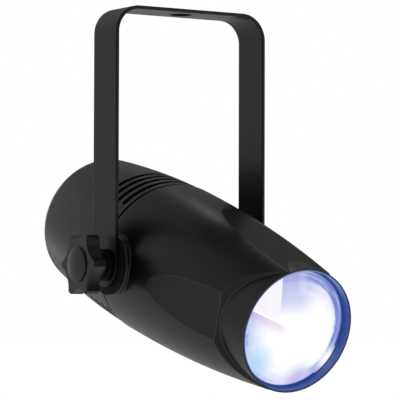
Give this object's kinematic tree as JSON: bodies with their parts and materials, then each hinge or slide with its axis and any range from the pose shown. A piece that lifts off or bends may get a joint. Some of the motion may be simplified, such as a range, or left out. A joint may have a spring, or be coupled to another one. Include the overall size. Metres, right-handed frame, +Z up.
{
  "type": "hanging spotlight",
  "caption": "Small cigar-shaped theatre spotlight with a faceted nose and front lens, tilting in a flat-strap yoke and clamped by a star knob on each side.",
  "frame": {"origin": "centre of the yoke's clamp hole, on the strap's top face", "axes": "+Z up, out of the clamp hole; the beam leaves towards -Y, tilted 17.25 degrees down at rest; X lies along the tilt axis"},
  "size_m": [0.142, 0.2418, 0.2173],
  "materials": {
    "black_powder_coat": "satin, fine-textured powder coat",
    "steel_strap": "satin powder coat on bent steel strap",
    "black_nylon": "moulded, slightly grained",
    "black_rubber": "matt",
    "zinc_steel": "bright zinc",
    "black_steel": "blackened",
    "brass": "machined",
    "optical_glass": "polished",
    "clear_acrylic": "clear moulded",
    "cast_aluminium": "machined and extruded, bare",
    "white_board": "white solder mask on aluminium",
    "led_phosphor": "lit phosphor dome",
    "green_board": "glass-fibre circuit board",
    "ferrite": "sintered",
    "capacitor_sleeve": "shrink sleeve",
    "copper_winding": "enamelled wire",
    "green_block": "moulded",
    "red_wire": "insulation",
    "black_wire": "insulation"
  },
  "bodies": {
    "yoke": {"yoke": "steel_strap"},
    "head": {"front_barrel": "black_powder_coat", "rear_casing": "black_powder_coat", "seam_seal": "black_rubber", "rear_panel": "black_powder_coat", "rear_panel_screws": "black_steel", "lens": "optical_glass", "lens_gasket": "black_rubber", "lens_retaining_ring": "black_steel", "mounting_plate": "cast_aluminium", "mounting_plate_screws": "zinc_steel", "heat_sink": "cast_aluminium", "heat_sink_screws": "zinc_steel", "thermal_pad": "white_board", "led_board": "white_board", "led_board_screws": "zinc_steel", "led_emitter": "led_phosphor", "collimator_lens": "clear_acrylic", "collimator_holder": "black_nylon", "driver_standoffs": "zinc_steel", "driver_board": "green_board", "tie_pillars": "zinc_steel", "driver_transformer": "ferrite", "driver_capacitors": "capacitor_sleeve", "driver_choke": "copper_winding", "mains_terminal_block": "green_block", "board_fuse": "zinc_steel", "cable_gland_body": "black_nylon", "cable_gland_locknut": "black_nylon", "cable_gland_seal": "black_rubber", "cable_gland_dome_nut": "black_nylon", "safety_eye": "zinc_steel", "safety_eye_nut": "zinc_steel", "led_lead_red": "red_wire", "led_lead_black": "black_wire", "pivot_insert_left": "brass", "pivot_insert_right": "brass", "friction_washer_left": "black_rubber", "friction_washer_right": "black_rubber"},
    "left_washer": {"knob_washer_left": "black_rubber"},
    "left_knob": {"tilt_knob_left": "black_nylon", "knob_stud_left": "zinc_steel", "knob_cap_left": "black_nylon"},
    "right_washer": {"knob_washer_right": "black_rubber"},
    "right_knob": {"tilt_knob_right": "black_nylon", "knob_stud_right": "zinc_steel", "knob_cap_right": "black_nylon"}
  },
  "joints": [
    {"name": "head_tilt", "type": "hinge", "parent": "yoke", "child": "head", "pos_m": [0, 0, -0.1475], "axis": [1, 0, 0], "range_deg": [-117.25, 82.75]},
    {"name": "left_knob_travel", "type": "slide", "parent": "head", "child": "left_washer", "axis": [-1, 0, 0], "range_m": [0, 0.0036]},
    {"name": "left_knob_turn", "type": "hinge", "parent": "left_washer", "child": "left_knob", "pos_m": [-0.06, 0, -0.1475], "axis": [-1, 0, 0], "range_deg": [0, 1260]},
    {"name": "right_knob_travel", "type": "slide", "parent": "head", "child": "right_washer", "axis": [1, 0, 0], "range_m": [0, 0.0036]},
    {"name": "right_knob_turn", "type": "hinge", "parent": "right_washer", "child": "right_knob", "pos_m": [0.06, 0, -0.1475], "axis": [1, 0, 0], "range_deg": [0, 1260]}
  ],
  "couplings": [
    {"joint": "left_knob_travel", "follows": "left_knob_turn", "m_per_rad": 0.00015915},
    {"joint": "right_knob_travel", "follows": "right_knob_turn", "m_per_rad": 0.00015915}
  ]
}
